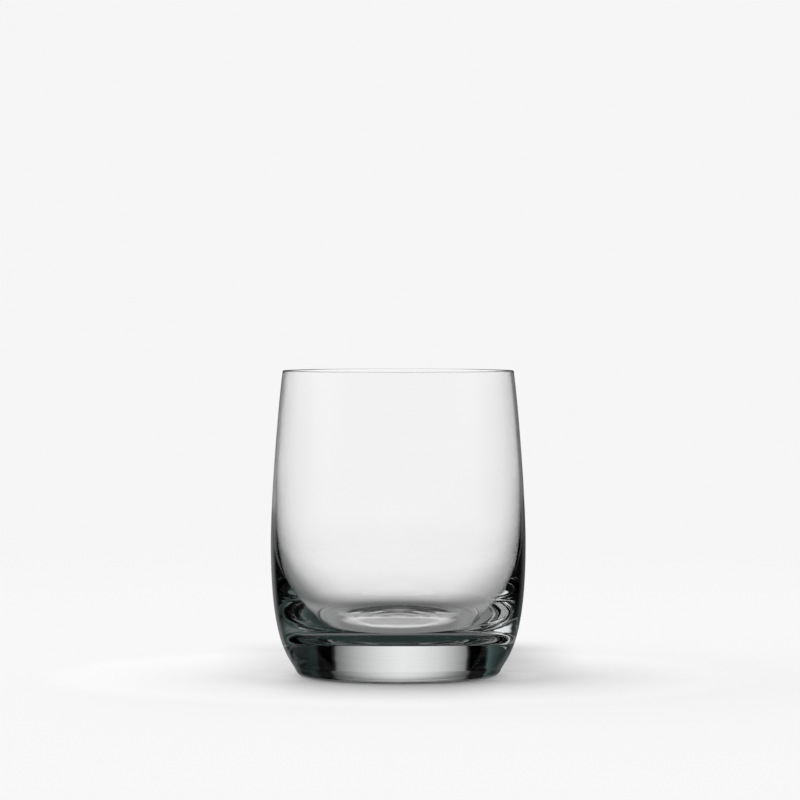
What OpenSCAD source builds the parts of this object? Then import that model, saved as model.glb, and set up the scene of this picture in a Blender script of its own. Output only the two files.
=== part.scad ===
// Rocks glass: a barrel-shaped tumbler with a thin rim and a thick, heavy base.
// The axis of the glass is Z, and the table is at z = 0. All sizes are in millimetres.

/* [Outside] */
// Height from the table to the top of the rim
height = 100; // [88:1:115]
// Widest outside diameter, at the belly
belly_d = 83.5; // [80:0.5:92]
// Height of the widest point outside
belly_z = 43.5; // [38:0.5:50]
// Outside diameter at the rim
rim_d = 75.7; // [72:0.1:80]
// Inward lean of the wall at the rim, in degrees
rim_lean = 7.5; // [4:0.5:10]
// Diameter of the flat bearing face under the foot
foot_d = 61.6; // [56:0.2:66]
// Radius of the round between the bearing face and the heel
foot_edge_r = 3; // [1:0.1:4]
// Outward lean of the heel just above the foot, in degrees
heel_lean = 24; // [18:0.5:32]

/* [Wall] */
// Thickness of the wall at the rim
rim_wall = 0.9; // [0.7:0.05:2]
// Height down to which the wall keeps its thickness at the rim
thin_wall_z = 72; // [64:1:82]

/* [Base] */
// Thickness of the glass under the middle of the bowl
base_t = 13.2; // [9:0.2:18]
// Diameter of the flat middle of the bowl's floor
floor_d = 45.6; // [38:0.2:50]
// Radius of the round between the bowl's floor and its wall
floor_corner_r = 11; // [7:0.5:13]
// Outward lean of the bowl's wall just above that round, in degrees
lower_wall_lean = 31; // [22:1:40]
// Diameter of the shallow hollow under the base
punt_d = 46; // [30:1:52]
// Depth of the shallow hollow under the base
punt_depth = 0.8; // [0.3:0.1:2]
// Height of the flat ring where the bowl wall joins the base
joint_z = 28; // [25:1:34]

/* [Curves] */
// Pull of the heel's direction on the lower outside curve, as a share of the curve's height
heel_pull = 0.115; // [0.08:0.005:0.2]
// Pull of the belly on the lower outside curve, as a share of the curve's height
belly_pull_down = 0.815; // [0.7:0.005:0.85]
// Pull of the belly on the upper outside curve, as a share of the curve's height
belly_pull_up = 0.245; // [0.2:0.005:0.4]
// Pull of the rim's lean on the upper outside curve, as a share of the curve's height
rim_pull = 0.2; // [0.1:0.01:0.3]
// Pull of the lower wall's lean on the inside curve, as a share of the curve's height
lower_wall_pull = 0.16; // [0.1:0.01:0.3]
// Pull of the thin wall on the inside curve, as a share of the curve's height
thin_wall_pull = 0.69; // [0.55:0.01:0.75]

/* [Hidden] */
$fn = 180;
curve_steps = 28;
round_steps = 8;
glass_tint = [0.82, 0.89, 0.87, 0.45];

belly_r = belly_d / 2;
foot_r = foot_d / 2;
punt_r = punt_d / 2;
floor_r = floor_d / 2;
rim_round_r = rim_wall / 2;
rim_round_at = [rim_d / 2 - rim_round_r, height - rim_round_r];
rim_side = [cos(rim_lean), sin(rim_lean)];
rim_down = [sin(rim_lean), -cos(rim_lean)];
rim_outside = rim_round_at + rim_round_r * rim_side;
rim_inside = rim_round_at - rim_round_r * rim_side;
foot_edge_at = [foot_r, foot_edge_r];
heel_up = [sin(heel_lean), cos(heel_lean)];
heel_start = foot_edge_at + foot_edge_r * [cos(heel_lean), -sin(heel_lean)];
punt_arc_r = (punt_r * punt_r + punt_depth * punt_depth) / (2 * punt_depth);
punt_arc_at = [0, punt_depth - punt_arc_r];
punt_half_angle = asin(punt_r / punt_arc_r);
floor_corner_at = [floor_r, base_t + floor_corner_r];
lower_wall_up = [sin(lower_wall_lean), cos(lower_wall_lean)];
lower_wall_start = floor_corner_at + floor_corner_r * [cos(lower_wall_lean), -sin(lower_wall_lean)];

// Points on a cubic curve from a to d, pulled towards b and c
function curve(a, b, c, d) = [
    for (i = [0:curve_steps])
        let (t = i / curve_steps, u = 1 - t)
        u * u * u * a + 3 * u * u * t * b + 3 * u * t * t * c + t * t * t * d
];

// Points on a round arc between two angles
function arc(at, r, from, to) = [
    for (i = [0:round_steps])
        let (angle = from + (to - from) * i / round_steps)
        at + r * [cos(angle), sin(angle)]
];

// A list without its first point, for a stretch that starts where the one before it ends
function after_first(points) = [for (i = [1:len(points) - 1]) points[i]];

function backwards(points) = [for (i = [len(points) - 1:-1:0]) points[i]];

// The hollow underside, from the axis out to the bearing face
punt = arc(punt_arc_at, punt_arc_r, 90, 90 - punt_half_angle);

foot_edge = arc(foot_edge_at, foot_edge_r, -90, -heel_lean);

// The outside from the heel up to the belly
heel_rise = belly_z - heel_start[1];
lower_outside = curve(
    heel_start,
    heel_start + heel_pull * heel_rise * heel_up,
    [belly_r, belly_z - belly_pull_down * heel_rise],
    [belly_r, belly_z]
);

// The outside from the belly up to the rim, leaning in there
rim_rise = rim_outside[1] - belly_z;
upper_outside = curve(
    [belly_r, belly_z],
    [belly_r, belly_z + belly_pull_up * rim_rise],
    rim_outside + rim_pull * rim_rise * rim_down,
    rim_outside
);

// Radius of the outside at a height above the belly
function outside_r(z) = lookup(z, [for (point = upper_outside) [point[1], point[0]]]);

// The inside of the thin wall, which follows the outside up to the rim
wall_across = outside_r(rim_inside[1]) - rim_inside[0];
upper_inside = [
    for (i = [0:curve_steps])
        let (z = thin_wall_z + (rim_inside[1] - thin_wall_z) * i / curve_steps)
        [outside_r(z) - wall_across, z]
];

// The round at the edge of the bowl's floor, from the wall in to the flat middle
floor_corner = arc(floor_corner_at, floor_corner_r, -lower_wall_lean, -90);

// The inside from that round up to the thin wall, which it runs into
thin_wall_down = (upper_inside[0] - upper_inside[1]) / norm(upper_inside[0] - upper_inside[1]);
lower_wall_rise = thin_wall_z - lower_wall_start[1];
lower_inside = curve(
    lower_wall_start,
    lower_wall_start + lower_wall_pull * lower_wall_rise * lower_wall_up,
    upper_inside[0] + thin_wall_pull * lower_wall_rise * thin_wall_down,
    upper_inside[0]
);

// Half of the glass cut through its axis
module section() {
    polygon(concat(
        punt,
        foot_edge,
        after_first(lower_outside),
        after_first(upper_outside),
        after_first(arc(rim_round_at, rim_round_r, rim_lean, rim_lean + 180)),
        after_first(backwards(upper_inside)),
        after_first(backwards(lower_inside)),
        after_first(floor_corner),
        [[0, base_t]]
    ));
}

// The thin wall above the joint, with the belly and the rounded rim
module bowl_wall() {
    color(glass_tint)
        rotate_extrude()
            intersection() {
                section();
                translate([0, joint_z])
                    square([belly_d, height]);
            }
}

// The thick base below the joint, with the heel, the bearing face and the bowl's floor
module heavy_base() {
    color(glass_tint)
        rotate_extrude()
            intersection() {
                section();
                square([belly_d, joint_z]);
            }
}

bowl_wall();
heavy_base();
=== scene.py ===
import math

import bmesh
import bpy
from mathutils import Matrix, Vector


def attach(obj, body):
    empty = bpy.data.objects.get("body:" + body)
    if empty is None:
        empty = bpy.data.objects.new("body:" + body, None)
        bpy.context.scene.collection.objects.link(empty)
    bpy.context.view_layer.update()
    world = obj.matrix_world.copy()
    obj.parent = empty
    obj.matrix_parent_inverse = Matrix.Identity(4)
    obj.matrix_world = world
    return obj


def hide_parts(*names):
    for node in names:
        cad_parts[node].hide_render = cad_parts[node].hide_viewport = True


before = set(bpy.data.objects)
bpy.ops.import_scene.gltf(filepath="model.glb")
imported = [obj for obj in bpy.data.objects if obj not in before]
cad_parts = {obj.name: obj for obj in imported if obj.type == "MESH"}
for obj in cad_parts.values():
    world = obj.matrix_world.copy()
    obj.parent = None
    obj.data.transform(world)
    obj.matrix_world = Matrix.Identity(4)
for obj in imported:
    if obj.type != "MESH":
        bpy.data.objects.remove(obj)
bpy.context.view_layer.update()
scene = bpy.context.scene

MM = 0.001

# Outside of the glass
HEIGHT = 100 * MM
BELLY_R = 41.75 * MM
BELLY_Z = 43.5 * MM
RIM_R = 37.85 * MM
RIM_LEAN = math.radians(7.5)
FOOT_R = 30.8 * MM
FOOT_EDGE_R = 3 * MM
HEEL_LEAN = math.radians(24)

# Wall
RIM_WALL = 0.9 * MM
THIN_WALL_Z = 72 * MM

# Base and the bowl's floor
BASE_T = 13.2 * MM
FLOOR_FLAT_R = 22.8 * MM
FLOOR_CORNER_R = 11 * MM
LOWER_WALL_LEAN = math.radians(31)
PUNT_R = 23 * MM
PUNT_DEPTH = 0.8 * MM

# How strongly each curve's ends pull on it, as shares of its height
HEEL_PULL = 0.115
BELLY_PULL_DOWN = 0.815
BELLY_PULL_UP = 0.245
RIM_PULL = 0.2
LOWER_WALL_PULL = 0.16
THIN_WALL_PULL = 0.69

# Fineness of the turned mesh, and how close two points count as one
CURVE_STEPS = 64
ROUND_STEPS = 14
TURN_STEPS = 256
SAME_POINT = 0.001 * MM


def curve(a, b, c, d):
    """Points on a cubic curve from a to d, pulled towards b and c."""
    a, b, c, d = map(Vector, (a, b, c, d))
    points = []
    for i in range(CURVE_STEPS + 1):
        t = i / CURVE_STEPS
        u = 1 - t
        points.append(u ** 3 * a + 3 * u * u * t * b + 3 * u * t * t * c + t ** 3 * d)
    return points


def arc(at, radius, start, end):
    """Points on a round arc between two angles."""
    points = []
    for i in range(ROUND_STEPS + 1):
        angle = start + (end - start) * i / ROUND_STEPS
        points.append(Vector(at) + radius * Vector((math.cos(angle), math.sin(angle))))
    return points


def radius_at(points, height):
    """The radius at a height on a stretch of points that climbs."""
    for low, high in zip(points, points[1:]):
        if low.y <= height <= high.y:
            return low.x + (high.x - low.x) * (height - low.y) / (high.y - low.y)
    raise ValueError("the stretch doesn't reach this height")


def glass_outline():
    """Radius and height along the half section, from under the middle round to the bowl's floor."""
    rim_round = RIM_WALL / 2
    rim_at = Vector((RIM_R - rim_round, HEIGHT - rim_round))
    rim_side = Vector((math.cos(RIM_LEAN), math.sin(RIM_LEAN)))
    rim_down = Vector((math.sin(RIM_LEAN), -math.cos(RIM_LEAN)))
    rim_outside = rim_at + rim_round * rim_side
    rim_inside = rim_at - rim_round * rim_side
    foot_at = Vector((FOOT_R, FOOT_EDGE_R))
    heel_start = foot_at + FOOT_EDGE_R * Vector((math.cos(HEEL_LEAN), -math.sin(HEEL_LEAN)))
    heel_up = Vector((math.sin(HEEL_LEAN), math.cos(HEEL_LEAN)))
    heel_rise = BELLY_Z - heel_start.y
    rim_rise = rim_outside.y - BELLY_Z
    punt_arc_r = (PUNT_R ** 2 + PUNT_DEPTH ** 2) / (2 * PUNT_DEPTH)
    punt_half = math.asin(PUNT_R / punt_arc_r)
    belly = Vector((BELLY_R, BELLY_Z))
    upper_outside = curve(belly, belly + Vector((0, BELLY_PULL_UP * rim_rise)),
                          rim_outside + RIM_PULL * rim_rise * rim_down, rim_outside)
    wall_across = radius_at(upper_outside, rim_inside.y) - rim_inside.x
    upper_inside = []
    for i in range(CURVE_STEPS + 1):
        height = THIN_WALL_Z + (rim_inside.y - THIN_WALL_Z) * i / CURVE_STEPS
        upper_inside.append(Vector((radius_at(upper_outside, height) - wall_across, height)))
    thin_wall_down = (upper_inside[0] - upper_inside[1]).normalized()
    corner_at = Vector((FLOOR_FLAT_R, BASE_T + FLOOR_CORNER_R))
    wall_side = Vector((math.cos(LOWER_WALL_LEAN), -math.sin(LOWER_WALL_LEAN)))
    wall_up = Vector((math.sin(LOWER_WALL_LEAN), math.cos(LOWER_WALL_LEAN)))
    wall_start = corner_at + FLOOR_CORNER_R * wall_side
    wall_rise = THIN_WALL_Z - wall_start.y
    stretches = [
        arc((0, PUNT_DEPTH - punt_arc_r), punt_arc_r, math.pi / 2, math.pi / 2 - punt_half),
        arc(foot_at, FOOT_EDGE_R, -math.pi / 2, -HEEL_LEAN),
        curve(heel_start, heel_start + HEEL_PULL * heel_rise * heel_up,
              belly - Vector((0, BELLY_PULL_DOWN * heel_rise)), belly),
        upper_outside,
        arc(rim_at, rim_round, RIM_LEAN, RIM_LEAN + math.pi),
        upper_inside[::-1],
        curve(wall_start, wall_start + LOWER_WALL_PULL * wall_rise * wall_up,
              upper_inside[0] + THIN_WALL_PULL * wall_rise * thin_wall_down, upper_inside[0])[::-1],
        arc(corner_at, FLOOR_CORNER_R, -LOWER_WALL_LEAN, -math.pi / 2),
        [Vector((FLOOR_FLAT_R * (1 - i / ROUND_STEPS), BASE_T)) for i in range(ROUND_STEPS + 1)],
    ]
    outline = []
    for stretch in stretches:
        for point in stretch:
            if not outline or (point - outline[-1]).length > SAME_POINT:
                outline.append(point)
    return outline


def turned(name, outline, steps):
    """A closed smooth mesh of revolution; the outline starts and ends on the axis."""
    bm = bmesh.new()
    first = bm.verts.new((0, 0, outline[0].y))
    last = bm.verts.new((0, 0, outline[-1].y))
    rings = []
    for point in outline[1:-1]:
        ring = []
        for i in range(steps):
            turn = 2 * math.pi * i / steps
            ring.append(bm.verts.new((point.x * math.cos(turn), point.x * math.sin(turn), point.y)))
        rings.append(ring)
    for i in range(steps):
        j = (i + 1) % steps
        bm.faces.new((first, rings[0][j], rings[0][i]))
        bm.faces.new((last, rings[-1][i], rings[-1][j]))
        for lower, upper in zip(rings, rings[1:]):
            bm.faces.new((lower[i], lower[j], upper[j], upper[i]))
    mesh = bpy.data.meshes.new(name)
    bm.to_mesh(mesh)
    bm.free()
    mesh.shade_smooth()
    piece = bpy.data.objects.new(name, mesh)
    scene.collection.objects.link(piece)
    return piece


def grey(level):
    return (level, level, level, 1)


class Tree:
    """Short ways to add nodes to a node tree."""

    def __init__(self, owner):
        owner.use_nodes = True
        self.nodes = owner.node_tree.nodes
        self.links = owner.node_tree.links
        self.nodes.clear()

    def add(self, kind, inputs=(), **settings):
        node = self.nodes.new(kind)
        for name, value in settings.items():
            setattr(node, name, value)
        for socket, value in dict(inputs).items():
            self.feed(node.inputs[socket], value)
        return node

    def feed(self, socket, value):
        if isinstance(value, bpy.types.NodeSocket):
            self.links.new(value, socket)
        else:
            socket.default_value = value

    def times(self, vector, scale):
        node = self.add("ShaderNodeVectorMath", {0: vector, 1: scale}, operation="MULTIPLY")
        return node.outputs["Vector"]

    def minus(self, vector, other):
        node = self.add("ShaderNodeVectorMath", {0: vector, 1: other}, operation="SUBTRACT")
        return node.outputs["Vector"]

    def length(self, vector):
        return self.add("ShaderNodeVectorMath", {0: vector}, operation="LENGTH").outputs["Value"]

    def math(self, operation, *values):
        return self.add("ShaderNodeMath", enumerate(values), operation=operation).outputs[0]

    def product(self, first, *others):
        for value in others:
            first = self.math("MULTIPLY", first, value)
        return first

    def over(self, count, limit):
        """1 where a whole number is over the limit, 0 elsewhere."""
        return self.math("GREATER_THAN", count, limit + 0.5)

    def up_to(self, count, limit):
        """1 where a whole number is no more than the limit, 0 elsewhere."""
        return self.math("LESS_THAN", count, limit + 0.5)

    def smooth(self, value, start, end):
        """0 before the start, 1 past the end and a soft change between; the end may be the lower one."""
        step = self.add("ShaderNodeMapRange", {"Value": value, "From Min": start, "From Max": end},
                        interpolation_type="SMOOTHSTEP")
        return step.outputs["Result"]

    def near(self, value, middle, half, edge):
        """1 within half a width of the middle, 0 further off than that and the edge."""
        return self.smooth(self.math("ABSOLUTE", self.math("SUBTRACT", value, middle)), half + edge, half)

    def ramp(self, value, stops, unit=1):
        """A grey level from a list of places, counted in the unit, and their levels."""
        low = stops[0][0]
        high = stops[-1][0]
        share = self.add("ShaderNodeMapRange", {
            "Value": value, "From Min": low * unit, "From Max": high * unit})
        node = self.add("ShaderNodeValToRGB", {"Fac": share.outputs["Result"]})
        elements = node.color_ramp.elements
        while len(elements) < len(stops):
            elements.new(1)
        for element, (place, level) in zip(elements, stops):
            element.position = (place - low) / (high - low)
            element.color = grey(level)
        return node.outputs["Color"]

    def blend(self, share, a, b, how="MIX"):
        node = self.add("ShaderNodeMix", data_type="RGBA", blend_type=how)
        for socket, value in (("Factor", share), ("A", a), ("B", b)):
            self.feed(node.inputs[socket], value)
        return node.outputs["Result"]

    def scaled(self, colour, by):
        return self.blend(1, colour, by, "MULTIPLY")

    def sum(self, a, b):
        return self.blend(1, a, b, "ADD")

    def emission(self, colour):
        return self.add("ShaderNodeEmission", {"Color": colour}).outputs[0]

    def mix_shader(self, share, a, b):
        return self.add("ShaderNodeMixShader", {0: share, 1: a, 2: b}).outputs[0]


# The glass, and how its depth tints it
GLASS_IOR = 1.52
GLASS_TINT = (0.75, 0.93, 0.91, 1)
TINT_DENSITY = 1.5

# Small unevenness of its surface: heights, sizes as waves in a metre, and where the marks and rings fade in
WAVE_HEIGHT = 0.04 * MM
WAVES = 90
MARK_HEIGHT = 0.003 * MM
MARKS = (60, 60, 500)
MARKS_BELOW = (60 * MM, 30 * MM)
RING_HEIGHT = 0.008 * MM
RING_PITCH = 4.5 * MM
RINGS_WITHIN = (FLOOR_FLAT_R, 0.7 * FLOOR_FLAT_R)
RINGS_BELOW = (BASE_T + 2 * MM, BASE_T + MM)
HAZE = 0.008
HAZE_IN_WAVES = (0.4, 0.8)


def glass_material():
    """Clear, faintly green glass with slow waves, fine marks low down and rings on the bowl's floor."""
    material = bpy.data.materials.new("clear_glass")
    tree = Tree(material)
    place = tree.add("ShaderNodeTexCoord").outputs["Object"]
    z = tree.add("ShaderNodeSeparateXYZ", {0: place}).outputs["Z"]
    out = tree.length(tree.times(place, (1, 1, 0)))
    waves = tree.add("ShaderNodeTexNoise", {"Vector": place, "Scale": WAVES, "Detail": 1}).outputs["Fac"]
    marks = tree.add("ShaderNodeTexNoise", {"Vector": tree.times(place, MARKS), "Scale": 1, "Detail": 0})
    marks = tree.product(marks.outputs["Fac"], tree.smooth(z, *MARKS_BELOW))
    rings = tree.math("SINE", tree.math("MULTIPLY", out, 2 * math.pi / RING_PITCH))
    on_floor = tree.product(tree.smooth(out, *RINGS_WITHIN), tree.smooth(z, *RINGS_BELOW))
    height = tree.math("MULTIPLY", waves, WAVE_HEIGHT)
    height = tree.math("MULTIPLY_ADD", marks, MARK_HEIGHT, height)
    height = tree.math("MULTIPLY_ADD", tree.product(rings, on_floor), RING_HEIGHT, height)
    bump = tree.add("ShaderNodeBump", {"Height": height, "Distance": 1, "Strength": 1})
    haze = tree.product(tree.smooth(waves, *HAZE_IN_WAVES), HAZE)
    shader = tree.add("ShaderNodeBsdfPrincipled", {
        "Base Color": (1, 1, 1, 1), "Roughness": haze, "IOR": GLASS_IOR, "Transmission Weight": 1,
        "Normal": bump.outputs["Normal"]})
    tint = tree.add("ShaderNodeVolumeAbsorption", {"Color": GLASS_TINT, "Density": TINT_DENSITY})
    tree.add("ShaderNodeOutputMaterial", {"Surface": shader.outputs[0], "Volume": tint.outputs[0]})
    return material


glass = turned("glass", glass_outline(), TURN_STEPS)
glass.data.materials.append(glass_material())
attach(glass, "root")
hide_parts("bowl_wall", "heavy_base")

# The stage. Two places are where a change starts and ends; three are a middle, half a width and a soft edge
FLOOR_R = 4.0
FLOOR_DROP = 0.05 * MM
PAPER_WHITE = 0.92

# A ray that has passed the surface more often than this came through two layers of glass. The stage tells
# by such counts, and by those of bounces inside the glass, what a ray shows
PASSES_OF_ONE_LAYER = 3

# The table as the bowl shows it, with the glass's shadow painted on: levels by millimetres from the axis,
# behind the glass and elsewhere, and shares by millimetres to the right that paint the shade darker at the
# sides, measured at one distance
TABLE_BEHIND = [(0, 0.5), (22, 0.38), (24, 0.2), (27, 0.08), (34, 0.22), (45, 0.46), (55, 0.62), (65, 0.75),
                (78, 0.83), (100, 0.91), (143, 0.97), (200, 0.98)]
TABLE_ELSEWHERE = [(0, 0.35), (34, 0.38), (45, 0.6), (60, 0.78), (100, 0.93), (200, 0.98)]
TABLE_SIDES = [(-60, 0.25), (-45, 0.33), (-40, 0.42), (-35, 0.63), (-31, 0.81), (-25, 0.92), (-20, 1),
               (20, 1), (28, 0.87), (34, 0.76), (40, 0.71), (60, 0.65)]
SIDES_MEASURED_AT = 60 * MM
BEHIND_WIDENS = 0.18
BEHIND_ASIDE = (100 * MM, 38 * MM)
BEHIND_FROM = (10 * MM, 30 * MM)
TABLE_END = (130 * MM, 240 * MM)

# A painted dark spot of shade on the table in front of the base on the left
PATCH_LEFT = (0, -15 * MM)
PATCH_FRONT = (-3 * MM, -8 * MM)
PATCH_OUT = (22 * MM, 30 * MM)

# The table as the base shows it, in painted shade: near black under the base and dim grey beside it; and how
# much dimmer the table is painted after a bounce in the glass
UNDER_BASE = (0.02, 0.031, 0.029, 1)
BESIDE_BASE = 0.17
BASE_EDGE = (29 * MM, 32.5 * MM)
TABLE_END_BY_BASE = (36 * MM, 44 * MM)
AFTER_BOUNCE = 0.2

# Painted light on the table under the bowl's floor: dim in front of a bent edge and lit behind it, with two
# painted rings of light. Their sizes are half sizes across and deep, and their widths shares of these
UNDER_BOWL = (24 * MM, 19 * MM)
LIT_EDGE = 6.5 * MM
LIT_EDGE_BEND = 30
LIT_EDGE_SOFT = 1.5 * MM
DIM_LEVEL = 0.26
LIT_MORE = 0.33
RINGS_MORE = 0.45
WIDE_RING = (25 * MM, 15.3 * MM)
WIDE_RING_WIDTH = 0.13
WIDE_RING_FROM = (0, 6 * MM)
SMALL_RING = (17 * MM, 4.8 * MM)
SMALL_RING_WIDTH = 0.33
SMALL_RING_AT = (0, 1.3 * MM, 0)

# The paper seen directly: painted shadow behind and in front of the foot, a painted lighter ring, and painted
# light beside the foot
LEFT_TO_RIGHT = (-20 * MM, 20 * MM)
BACK_SHADE_ASIDE = (68 * MM, 24 * MM)
BACK_SHADE_DEEP = (85 * MM, 20 * MM, 60 * MM)
BACK_SHADE_LEFT = 0.24
BACK_SHADE_MORE_RIGHT = 0.26
FRONT_SHADE_REACH = (110 * MM, 35 * MM)
FRONT_SHADE_SECTOR = (-0.2, -0.7)
FRONT_SHADE_ACROSS = (-4 * MM, 18 * MM, 24 * MM)
FRONT_SHADE = 0.23
LIGHT_RING_OUT = (85 * MM, 15 * MM, 25 * MM)
LIGHT_RING = 0.04
GLOW_REACH = (52 * MM, 33 * MM)
GLOW_DEEP = (-2 * MM, 6 * MM, 20 * MM)
GLOW_LEFT = 0.13
GLOW_MORE_RIGHT = 0.06
PLAIN_WHITE_FROM = (300 * MM, 900 * MM)


def light_under_bowl(tree, place, x, y):
    """The painted light level that the bowl's floor shows, with painted rings in place of the light that the
    glass gathers.
    """
    def ring(centred, half_sizes, width):
        far = tree.length(tree.times(centred, (1 / half_sizes[0], 1 / half_sizes[1], 0)))
        return tree.smooth(tree.math("ABSOLUTE", tree.math("SUBTRACT", far, 1)), width, 0)

    # Painted rings of light
    wide = tree.product(ring(place, WIDE_RING, WIDE_RING_WIDTH), tree.smooth(y, *WIDE_RING_FROM))
    small = ring(tree.minus(place, SMALL_RING_AT), SMALL_RING, SMALL_RING_WIDTH)
    past_edge = tree.math("ADD", tree.math("ADD", y, LIT_EDGE), tree.product(x, x, -LIT_EDGE_BEND))
    lit = tree.smooth(past_edge, -LIT_EDGE_SOFT, LIT_EDGE_SOFT)
    lit = tree.math("MULTIPLY_ADD", lit, LIT_MORE, DIM_LEVEL)
    return tree.math("MULTIPLY_ADD", tree.math("ADD", wide, small), RINGS_MORE, lit)


def table_by_bowl(tree, out, x, y):
    """The table around the foot in painted shade: dark in a ring near the foot, a sector behind it that is
    dimmer near the base and at its sides, and a dark spot at the front left.
    """
    aside = tree.math("MULTIPLY_ADD", out, -BEHIND_WIDENS, tree.math("ABSOLUTE", x))
    behind = tree.product(tree.smooth(aside, *BEHIND_ASIDE), tree.smooth(y, *BEHIND_FROM))
    shrink = tree.math("DIVIDE", 2 * SIDES_MEASURED_AT, tree.math("ADD", out, SIDES_MEASURED_AT))
    sides = tree.ramp(tree.product(x, shrink), TABLE_SIDES, MM)
    sector = tree.scaled(tree.ramp(out, TABLE_BEHIND, MM), sides)
    table = tree.blend(behind, tree.ramp(out, TABLE_ELSEWHERE, MM), sector)
    # Painted dark spot of shade at the front left
    painted_shade_patch = tree.product(
        tree.smooth(x, *PATCH_LEFT), tree.smooth(y, *PATCH_FRONT), tree.smooth(out, *PATCH_OUT))
    return tree.blend(painted_shade_patch, table, UNDER_BASE)


def paper(tree, out, x, y):
    """White paper under the studio's light, with painted shadow behind and in front of the foot, a painted
    lighter ring and painted light beside the foot, which turns into plain white far out.
    """
    to_right = tree.smooth(x, *LEFT_TO_RIGHT)
    # Painted shadow of the glass behind the foot, stronger on the right
    painted_back_shadow = tree.product(
        tree.smooth(tree.math("ABSOLUTE", x), *BACK_SHADE_ASIDE), tree.near(y, *BACK_SHADE_DEEP),
        tree.math("MULTIPLY_ADD", to_right, BACK_SHADE_MORE_RIGHT, BACK_SHADE_LEFT))
    # Painted shadow in front of the foot
    front = tree.product(
        tree.smooth(out, *FRONT_SHADE_REACH), tree.smooth(tree.math("DIVIDE", y, out), *FRONT_SHADE_SECTOR),
        tree.near(x, *FRONT_SHADE_ACROSS))
    level = tree.math("SUBTRACT", 1, tree.math("MULTIPLY_ADD", front, FRONT_SHADE, painted_back_shadow))
    # A painted lighter ring further out
    level = tree.math("MULTIPLY_ADD", tree.near(out, *LIGHT_RING_OUT), LIGHT_RING, level)
    # Painted light beside the foot: an emission standing in for light that comes through the glass
    painted_glow = tree.product(
        tree.smooth(out, *GLOW_REACH), tree.near(y, *GLOW_DEEP),
        tree.math("MULTIPLY_ADD", to_right, GLOW_MORE_RIGHT, GLOW_LEFT))
    white = tree.add("ShaderNodeBsdfDiffuse", {"Color": tree.scaled(grey(PAPER_WHITE), level)})
    lit = tree.add("ShaderNodeAddShader", {0: white.outputs[0], 1: tree.emission(painted_glow)})
    plain = tree.emission(grey(PAPER_WHITE))
    return tree.mix_shader(tree.smooth(out, *PLAIN_WHITE_FROM), lit.outputs[0], plain)


def floor_material():
    """White paper, which the glass shows as a table in painted light and shade near the foot and as the
    studio further off.
    """
    material = bpy.data.materials.new("floor")
    tree = Tree(material)
    path = tree.add("ShaderNodeLightPath").outputs
    place = tree.add("ShaderNodeTexCoord").outputs["Object"]
    x, y, _ = tree.add("ShaderNodeSeparateXYZ", {0: place}).outputs
    out = tree.length(place)
    bounces = path["Glossy Depth"]
    two_layers = tree.over(path["Transmission Depth"], PASSES_OF_ONE_LAYER)
    through_bowl = tree.math("MAXIMUM", two_layers, tree.up_to(bounces, 0))

    # Through the bowl the table shows painted shadow around the foot and painted light under the bowl's floor
    by_bowl = tree.blend(tree.smooth(out, *UNDER_BOWL), table_by_bowl(tree, out, x, y),
                         light_under_bowl(tree, place, x, y))
    # After a bounce in the glass the table is painted dimmer
    by_bowl = tree.blend(tree.over(bounces, 0), by_bowl, tree.scaled(by_bowl, grey(AFTER_BOUNCE)))
    # Through the base the table shows painted shade, near black under it and dim grey beside it
    by_base = tree.blend(tree.smooth(out, *BASE_EDGE), UNDER_BASE, grey(BESIDE_BASE))
    # The table seen through the glass is an emission at these painted levels
    table = tree.emission(tree.blend(through_bowl, by_base, by_bowl))
    far = tree.blend(through_bowl, tree.smooth(out, *TABLE_END_BY_BASE), tree.smooth(out, *TABLE_END))
    shown = tree.mix_shader(far, table, tree.add("ShaderNodeBsdfTransparent").outputs[0])

    by_eye = tree.product(path["Is Transmission Ray"], tree.up_to(path["Diffuse Depth"], 0))
    surface = tree.mix_shader(by_eye, paper(tree, out, x, y), shown)
    tree.add("ShaderNodeOutputMaterial", {"Surface": surface})
    return material


# Light on the floor
LIGHT_AROUND = 0.14
LIGHT_FROM_ABOVE = 2.15
LIGHT_FROM_ABOVE_NARROWS = 3
LIGHT_FROM_LEFT = 0.45
LIGHT_FROM_BEHIND = 0.35
LIGHT_OFF_TABLE = 0.1

# What the glass shows of the studio, by degrees to the right of straight behind it, or to either side.
# Heights are degrees over the horizon
WHITE_PANEL = [(-180, 0), (-26.8, 0), (-26.2, 0.2), (-21, 0.42), (-14, 0.68), (-7, 0.83), (-1, 0.88),
               (5, 0.77), (12, 0.55), (18, 0.33), (23.4, 0.13), (24, 0), (180, 0)]
PANEL_WIDENS_AT = (12, 24)
PANEL_WIDENS = 0.2
PANEL_TOP = (20.5, 25.5)
PANEL_BOTTOM = (-6, -9)
OFF_PANEL = 0.36
ROOM = [(-180, 0), (-110, 0), (-60, 0.2), (-50, 0.35), (-45, 0.6), (-40.5, 1), (-38.6, 0), (33, 0), (34, 0.2),
        (38, 0.2), (42, 0.1), (60, 0.1), (180, 0.2)]
ROOM_TINT = (0.062, 0.105, 0.098, 1)
FRONT_TURN = (75, 110)
FRONT_HEIGHT = (-14, -4)
FRONT_LEVEL = 0.75
STRAY = 0.15

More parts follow.
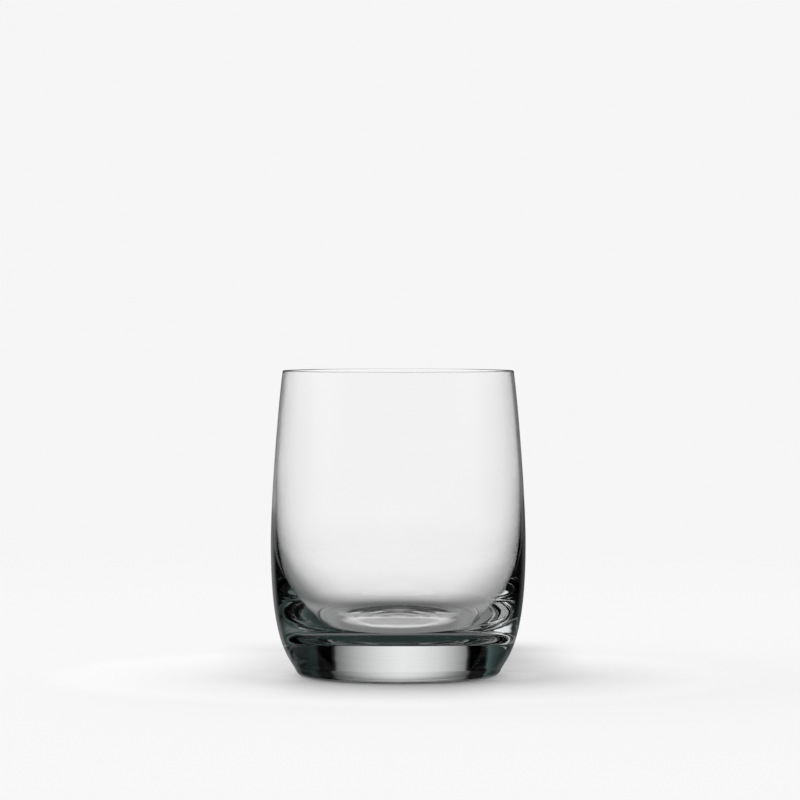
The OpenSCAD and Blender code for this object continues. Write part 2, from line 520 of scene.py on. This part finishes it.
# The same for rays that bounce often inside the glass, and for those guided round in the wall
MANY_BOUNCES = 2
LEFT_LAMP = [(-180, 0), (-160, 0), (-150, 0.25), (-142, 0.25), (-137, 0.02), (-125, 0.04), (-118, 0.8),
             (-115, 0.95), (-92, 0.95), (-86, 0.3), (-74, 0), (70, 0), (82, 0.08), (105, 0.1), (120, 0.07),
             (130, 0.02), (180, 0)]
LEFT_LAMP_HEIGHT = (5, 17, 6)
SOFT_LAMP = 0.2
SOFT_LAMP_SIDE = (-65, 22, 8)
SOFT_LAMP_HEIGHT = (22, 14, 6)
WALL_TEAL = [(-180, 0.1), (0, 0.05), (50, 0.2), (80, 0.5), (165, 0.5), (180, 0.1)]
GUIDED_BOUNCES = 7
GUIDED_LIGHT = 0.45
GUIDED_DARK = 0.004
GUIDED_SIDE = (-138, 15, 6)
GUIDED_HEIGHT = (31, 6, 3)

# The backdrop through the bowl, low and high
BY_BOWL_LOW = [(0, 0.98), (4, 0.96), (6, 0.89), (8, 0.81), (10, 0.75), (16, 0.72), (30, 0.8), (45, 0.88),
               (180, 0.95)]
BY_BOWL_HIGH = [(0, 0.98), (6, 0.98), (8, 1.03), (10, 1.2), (13, 1.5), (22, 1.6), (35, 1), (180, 0.95)]
BY_BOWL_CHANGE = (-5.5, -1.5)
BACKDROP_TOP = (12, 26)
OVER_BACKDROP = 0.15
BOWL_BELOW = 5

# What the outside of the glass mirrors, low and high, and in front
MIRRORED_LOW = [(0, 0.32), (20, 0.32), (25, 0.27), (30, 0.1), (35, 0), (180, 0)]
MIRRORED_HIGH = [(0, 0.03), (16, 0.06), (25, 0.4), (40, 1.25), (180, 1.25)]
MIRRORED_CHANGE = (-3, 0.5)
MIRRORED_BRIGHTENS = (1, 12)
ON_RIGHT = (-20, 20)
RIGHT_HIGH = 0.75
RIGHT_LOW = 0.4
HEEL_HEIGHT = (-9, -16)
HEEL_LEVEL = 0.5
MIRRORED_FRONT = 0.75
MIRRORED_FRONT_TURN = (60, 140)
MIRRORED_FRONT_HEIGHT = (-25, -12)


def shown_after_bounces(tree, side, height, bounces):
    """A lamp on the left and dark greenish walls."""
    lamp = tree.scaled(tree.ramp(side, LEFT_LAMP), tree.near(height, *LEFT_LAMP_HEIGHT))
    soft = tree.product(tree.near(side, *SOFT_LAMP_SIDE), tree.near(height, *SOFT_LAMP_HEIGHT), SOFT_LAMP)
    walls = tree.scaled(tree.ramp(side, WALL_TEAL), ROOM_TINT)
    shown = tree.sum(tree.sum(lamp, soft), walls)
    guided = tree.product(tree.near(side, *GUIDED_SIDE), tree.near(height, *GUIDED_HEIGHT))
    guided = tree.math("MULTIPLY_ADD", guided, GUIDED_LIGHT, GUIDED_DARK)
    return tree.blend(tree.over(bounces, GUIDED_BOUNCES), shown, guided)


def shown_by_base(tree, side, turn, height, two_layers, bounces):
    """A white panel in a dim greenish room, through the base and the thick wall."""
    shrink = tree.math("MULTIPLY_ADD", tree.smooth(height, *PANEL_WIDENS_AT), -PANEL_WIDENS, 1)
    on_panel = tree.product(side, shrink)
    panel = tree.ramp(on_panel, WHITE_PANEL)
    off_panel = tree.math("MAXIMUM", tree.smooth(height, *PANEL_TOP), tree.smooth(height, *PANEL_BOTTOM))
    panel = tree.blend(off_panel, panel, tree.scaled(panel, grey(OFF_PANEL)))
    shown = tree.sum(panel, tree.scaled(tree.ramp(on_panel, ROOM), ROOM_TINT))
    front = tree.product(
        tree.smooth(turn, *FRONT_TURN), tree.smooth(height, *FRONT_HEIGHT), tree.up_to(bounces, 1))
    shown = tree.blend(front, shown, grey(FRONT_LEVEL))
    stray = tree.math("MAXIMUM", two_layers, tree.over(bounces, 1))
    shown = tree.blend(stray, shown, tree.scaled(shown, grey(STRAY)))
    after_bounces = shown_after_bounces(tree, side, height, bounces)
    return tree.blend(tree.over(bounces, MANY_BOUNCES), shown, after_bounces)


def shown_by_bowl(tree, turn, height):
    """A pale backdrop through the bowl."""
    shown = tree.blend(tree.smooth(height, *BY_BOWL_CHANGE), tree.ramp(turn, BY_BOWL_LOW),
                       tree.ramp(turn, BY_BOWL_HIGH))
    return tree.blend(tree.smooth(height, *BACKDROP_TOP), shown, grey(OVER_BACKDROP))


def shown_in_mirror(tree, side, turn, height):
    """Pale walls high up at the sides, a dim panel low behind, and a grey front."""
    on_right = tree.smooth(side, *ON_RIGHT)
    upper = tree.ramp(turn, MIRRORED_HIGH)
    upper = tree.scaled(upper, tree.math("ADD", tree.smooth(height, *MIRRORED_BRIGHTENS), 1))
    upper = tree.blend(on_right, upper, tree.scaled(upper, grey(RIGHT_HIGH)))
    dimmed = tree.blend(on_right, grey(1), grey(RIGHT_LOW))
    dimmed = tree.blend(tree.smooth(height, *HEEL_HEIGHT), dimmed, grey(HEEL_LEVEL))
    lower = tree.scaled(tree.ramp(turn, MIRRORED_LOW), dimmed)
    at_side = tree.blend(tree.smooth(height, *MIRRORED_CHANGE), lower, upper)
    at_front = tree.product(MIRRORED_FRONT, tree.smooth(height, *MIRRORED_FRONT_HEIGHT))
    return tree.blend(tree.smooth(turn, *MIRRORED_FRONT_TURN), at_side, at_front)


def light_on_floor(tree, x, y, z):
    """Soft white light, brightest from above, the left and behind."""
    above = tree.math("POWER", tree.math("MAXIMUM", z, 0), LIGHT_FROM_ABOVE_NARROWS)
    light = tree.math("MULTIPLY_ADD", above, LIGHT_FROM_ABOVE, LIGHT_AROUND)
    light = tree.math("SUBTRACT", light, tree.math("MULTIPLY", x, LIGHT_FROM_LEFT))
    return tree.math("MAXIMUM", tree.math("MULTIPLY_ADD", y, LIGHT_FROM_BEHIND, light), 0)


def studio_world():
    """Soft white light for the floor, and for the glass a white panel and a backdrop in a dim room."""
    world = bpy.data.worlds.new("studio")
    tree = Tree(world)
    path = tree.add("ShaderNodeLightPath").outputs
    way = tree.add("ShaderNodeTexCoord").outputs["Generated"]
    x, y, z = tree.add("ShaderNodeSeparateXYZ", {0: way}).outputs
    side = tree.math("DEGREES", tree.math("ARCTAN2", x, y))
    turn = tree.math("ABSOLUTE", side)
    height = tree.math("DEGREES", tree.math("ARCSINE", z))
    bounces = path["Glossy Depth"]
    two_layers = tree.over(path["Transmission Depth"], PASSES_OF_ONE_LAYER)

    through_bowl = tree.math("MAXIMUM", two_layers, tree.math("LESS_THAN", height, BOWL_BELOW))
    through_bowl = tree.product(through_bowl, tree.up_to(bounces, 0))
    by_base = shown_by_base(tree, side, turn, height, two_layers, bounces)
    seen = tree.blend(through_bowl, by_base, shown_by_bowl(tree, turn, height))
    seen = tree.blend(tree.over(path["Diffuse Depth"], 0), seen, grey(LIGHT_OFF_TABLE))
    colour = tree.blend(path["Is Transmission Ray"], light_on_floor(tree, x, y, z), seen)
    by_mirror = tree.math("GREATER_THAN", path["Is Glossy Ray"], path["Is Transmission Ray"])
    colour = tree.blend(by_mirror, colour, shown_in_mirror(tree, side, turn, height))
    colour = tree.blend(path["Is Camera Ray"], colour, grey(PAPER_WHITE))
    background = tree.add("ShaderNodeBackground", {"Color": colour})
    tree.add("ShaderNodeOutputWorld", {"Surface": background.outputs[0]})
    return world


bpy.ops.mesh.primitive_circle_add(vertices=64, radius=FLOOR_R, fill_type="NGON",
                                  location=(0, 0, -FLOOR_DROP))
floor = bpy.context.object
floor.name = "floor"
floor.data.materials.append(floor_material())
floor.visible_glossy = False

scene.world = studio_world()

# Camera
CAMERA_DISTANCE = 1.5
CAMERA_HEIGHT = 0.123
CAMERA_AIM = Vector((0.58 * MM, 0, 90.3 * MM))
MM_PER_PIXEL = 0.3273
FRAME_PIXELS = 800
SENSOR_WIDTH = 36
camera_data = bpy.data.cameras.new("camera")
camera = bpy.data.objects.new("camera", camera_data)
scene.collection.objects.link(camera)
camera.location = (0, -CAMERA_DISTANCE, CAMERA_HEIGHT)
camera.rotation_euler = (CAMERA_AIM - camera.location).to_track_quat("-Z", "Y").to_euler()
camera_data.sensor_width = SENSOR_WIDTH
camera_data.lens = SENSOR_WIDTH * CAMERA_DISTANCE / (FRAME_PIXELS * MM_PER_PIXEL * MM)
camera_data.clip_end = 20
scene.camera = camera

# Enough bounces for light that is guided round inside the glass
GLASS_BOUNCES = 28
scene.view_settings.view_transform = "Standard"
scene.cycles.max_bounces = GLASS_BOUNCES
scene.cycles.transmission_bounces = GLASS_BOUNCES
scene.cycles.glossy_bounces = GLASS_BOUNCES
scene.cycles.diffuse_bounces = 2
